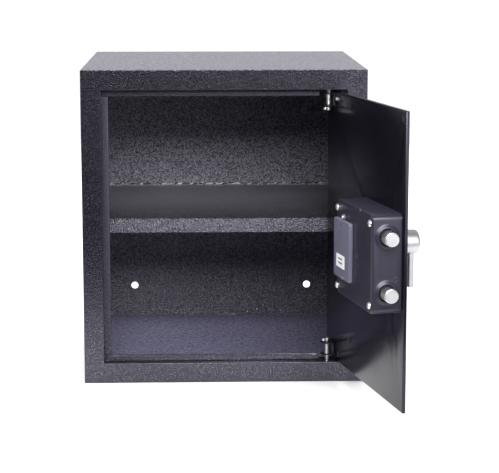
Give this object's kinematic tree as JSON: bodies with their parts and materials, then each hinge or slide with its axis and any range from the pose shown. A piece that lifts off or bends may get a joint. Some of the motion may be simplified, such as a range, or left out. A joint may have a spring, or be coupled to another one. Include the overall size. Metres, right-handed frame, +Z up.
{
  "type": "in-room safe",
  "caption": "Steel in-room safe with a shelf, felt floor and hinged door carrying a keypad, a turning knob, a battery lock case and sliding bolts.",
  "frame": {"origin": "centre of the case's underside", "axes": "+Z up; +Y from the door opening towards the back panel; +X towards the hinge side"},
  "size_m": [0.3913, 0.6289, 0.39],
  "materials": {
    "case_paint": "hammertone powder coat, near black with a fine blue-grey sparkle",
    "door_paint": "fine hammertone powder coat, satin",
    "lock_case_paint": "smooth satin paint, dark blue-grey",
    "cover_plastic": "fine satin, mid blue-grey, lighter than the lock case",
    "zinc_steel": "bright zinc plating",
    "bolt_steel": "ground and plated",
    "satin_chrome": "satin chrome",
    "floor_felt": "needle-punched felt carpet",
    "black_plastic": "fine textured",
    "display_window": "dark red, polished",
    "key_rubber": "silicone, matt",
    "cable_jacket": "smooth PVC",
    "circuit_board": "solder mask",
    "cell_sleeve": "printed film, left plain"
  },
  "bodies": {
    "case": {"wall_base": "case_paint", "wall_top": "case_paint", "wall_left": "case_paint", "wall_right": "case_paint", "back_panel": "case_paint", "front_frame": "case_paint", "stop_strip_top": "case_paint", "stop_strip_left": "case_paint", "stop_strip_bottom": "case_paint", "shelf": "case_paint", "floor_mat": "floor_felt"},
    "door": {"door_plate": "door_paint", "hinge_bracket_upper": "door_paint", "hinge_bracket_lower": "door_paint", "hinge_spring_upper": "zinc_steel", "hinge_spring_lower": "zinc_steel", "lock_chassis": "zinc_steel", "lock_case": "lock_case_paint", "lock_case_screw_1": "zinc_steel", "lock_case_screw_2": "zinc_steel", "lock_case_screw_3": "zinc_steel", "lock_case_screw_4": "zinc_steel", "bolt_bush_lower": "lock_case_paint", "bolt_bush_upper": "lock_case_paint", "battery_tray": "black_plastic", "battery_cell_1": "cell_sleeve", "battery_cell_2": "cell_sleeve", "battery_cell_3": "cell_sleeve", "battery_cell_4": "cell_sleeve", "circuit_board": "circuit_board", "solenoid": "zinc_steel", "keypad_housing": "black_plastic", "keypad_window": "display_window", "keypad_cable": "cable_jacket", "knob_rose": "satin_chrome", "override_barrel": "zinc_steel"},
    "hinge_pin_upper": {"hinge_pin_upper": "zinc_steel"},
    "hinge_pin_lower": {"hinge_pin_lower": "zinc_steel"},
    "bolts": {"bolt_upper": "bolt_steel", "bolt_lower": "bolt_steel", "bolt_carriage": "zinc_steel"},
    "knob": {"knob": "satin_chrome", "knob_spindle": "zinc_steel"},
    "battery_cover": {"battery_cover": "cover_plastic", "battery_cover_screw": "zinc_steel"},
    "reset_button": {"reset_button": "black_plastic"},
    "override_plug": {"override_plug": "zinc_steel"},
    "key_01": {"key_01": "key_rubber"},
    "key_02": {"key_02": "key_rubber"},
    "key_03": {"key_03": "key_rubber"},
    "key_04": {"key_04": "key_rubber"},
    "key_05": {"key_05": "key_rubber"},
    "key_06": {"key_06": "key_rubber"},
    "key_07": {"key_07": "key_rubber"},
    "key_08": {"key_08": "key_rubber"},
    "key_09": {"key_09": "key_rubber"},
    "key_10": {"key_10": "key_rubber"},
    "key_11": {"key_11": "key_rubber"},
    "key_12": {"key_12": "key_rubber"}
  },
  "joints": [
    {"name": "door_swing", "type": "hinge", "parent": "case", "child": "door", "pos_m": [0.1286, -0.1623, 0.1955], "axis": [0, 0, 1], "range_deg": [-102, 14]},
    {"name": "hinge_pin_upper_draw", "type": "slide", "parent": "door", "child": "hinge_pin_upper", "axis": [0, 0, -1], "range_m": [0, 0.0065], "stiffness_N_per_m": 400, "springref_m": -0.012, "deforming": ["hinge_spring_upper"]},
    {"name": "hinge_pin_lower_draw", "type": "slide", "parent": "door", "child": "hinge_pin_lower", "axis": [0, 0, 1], "range_m": [0, 0.0065], "stiffness_N_per_m": 400, "springref_m": -0.012, "deforming": ["hinge_spring_lower"]},
    {"name": "bolt_throw", "type": "slide", "parent": "door", "child": "bolts", "axis": [0.2079, -0.9781, 0], "range_m": [-0.0145, 0]},
    {"name": "knob_turn", "type": "hinge", "parent": "door", "child": "knob", "pos_m": [0.18383, -0.37548, 0.2105], "axis": [-0.9781, -0.2079, 0], "range_deg": [-90, 0]},
    {"name": "battery_cover_lift", "type": "slide", "parent": "door", "child": "battery_cover", "axis": [-0.9781, -0.2079, 0], "range_m": [0, 0.03]},
    {"name": "reset_press", "type": "slide", "parent": "door", "child": "reset_button", "axis": [0.9781, 0.2079, 0], "range_m": [0, 0.0012], "stiffness_N_per_m": 250},
    {"name": "override_turn", "type": "hinge", "parent": "door", "child": "override_plug", "pos_m": [0.18143, -0.30647, 0.243], "axis": [-0.9781, -0.2079, 0], "range_deg": [0, 90]},
    {"name": "key_01_press", "type": "slide", "parent": "door", "child": "key_01", "axis": [-0.9781, -0.2079, 0], "range_m": [0, 0.0012], "stiffness_N_per_m": 250},
    {"name": "key_02_press", "type": "slide", "parent": "door", "child": "key_02", "axis": [-0.9781, -0.2079, 0], "range_m": [0, 0.0012], "stiffness_N_per_m": 250},
    {"name": "key_03_press", "type": "slide", "parent": "door", "child": "key_03", "axis": [-0.9781, -0.2079, 0], "range_m": [0, 0.0012], "stiffness_N_per_m": 250},
    {"name": "key_04_press", "type": "slide", "parent": "door", "child": "key_04", "axis": [-0.9781, -0.2079, 0], "range_m": [0, 0.0012], "stiffness_N_per_m": 250},
    {"name": "key_05_press", "type": "slide", "parent": "door", "child": "key_05", "axis": [-0.9781, -0.2079, 0], "range_m": [0, 0.0012], "stiffness_N_per_m": 250},
    {"name": "key_06_press", "type": "slide", "parent": "door", "child": "key_06", "axis": [-0.9781, -0.2079, 0], "range_m": [0, 0.0012], "stiffness_N_per_m": 250},
    {"name": "key_07_press", "type": "slide", "parent": "door", "child": "key_07", "axis": [-0.9781, -0.2079, 0], "range_m": [0, 0.0012], "stiffness_N_per_m": 250},
    {"name": "key_08_press", "type": "slide", "parent": "door", "child": "key_08", "axis": [-0.9781, -0.2079, 0], "range_m": [0, 0.0012], "stiffness_N_per_m": 250},
    {"name": "key_09_press", "type": "slide", "parent": "door", "child": "key_09", "axis": [-0.9781, -0.2079, 0], "range_m": [0, 0.0012], "stiffness_N_per_m": 250},
    {"name": "key_10_press", "type": "slide", "parent": "door", "child": "key_10", "axis": [-0.9781, -0.2079, 0], "range_m": [0, 0.0012], "stiffness_N_per_m": 250},
    {"name": "key_11_press", "type": "slide", "parent": "door", "child": "key_11", "axis": [-0.9781, -0.2079, 0], "range_m": [0, 0.0012], "stiffness_N_per_m": 250},
    {"name": "key_12_press", "type": "slide", "parent": "door", "child": "key_12", "axis": [-0.9781, -0.2079, 0], "range_m": [0, 0.0012], "stiffness_N_per_m": 250}
  ],
  "couplings": [
    {"joint": "knob_turn", "follows": "bolt_throw", "rad_per_m": 108.3}
  ]
}
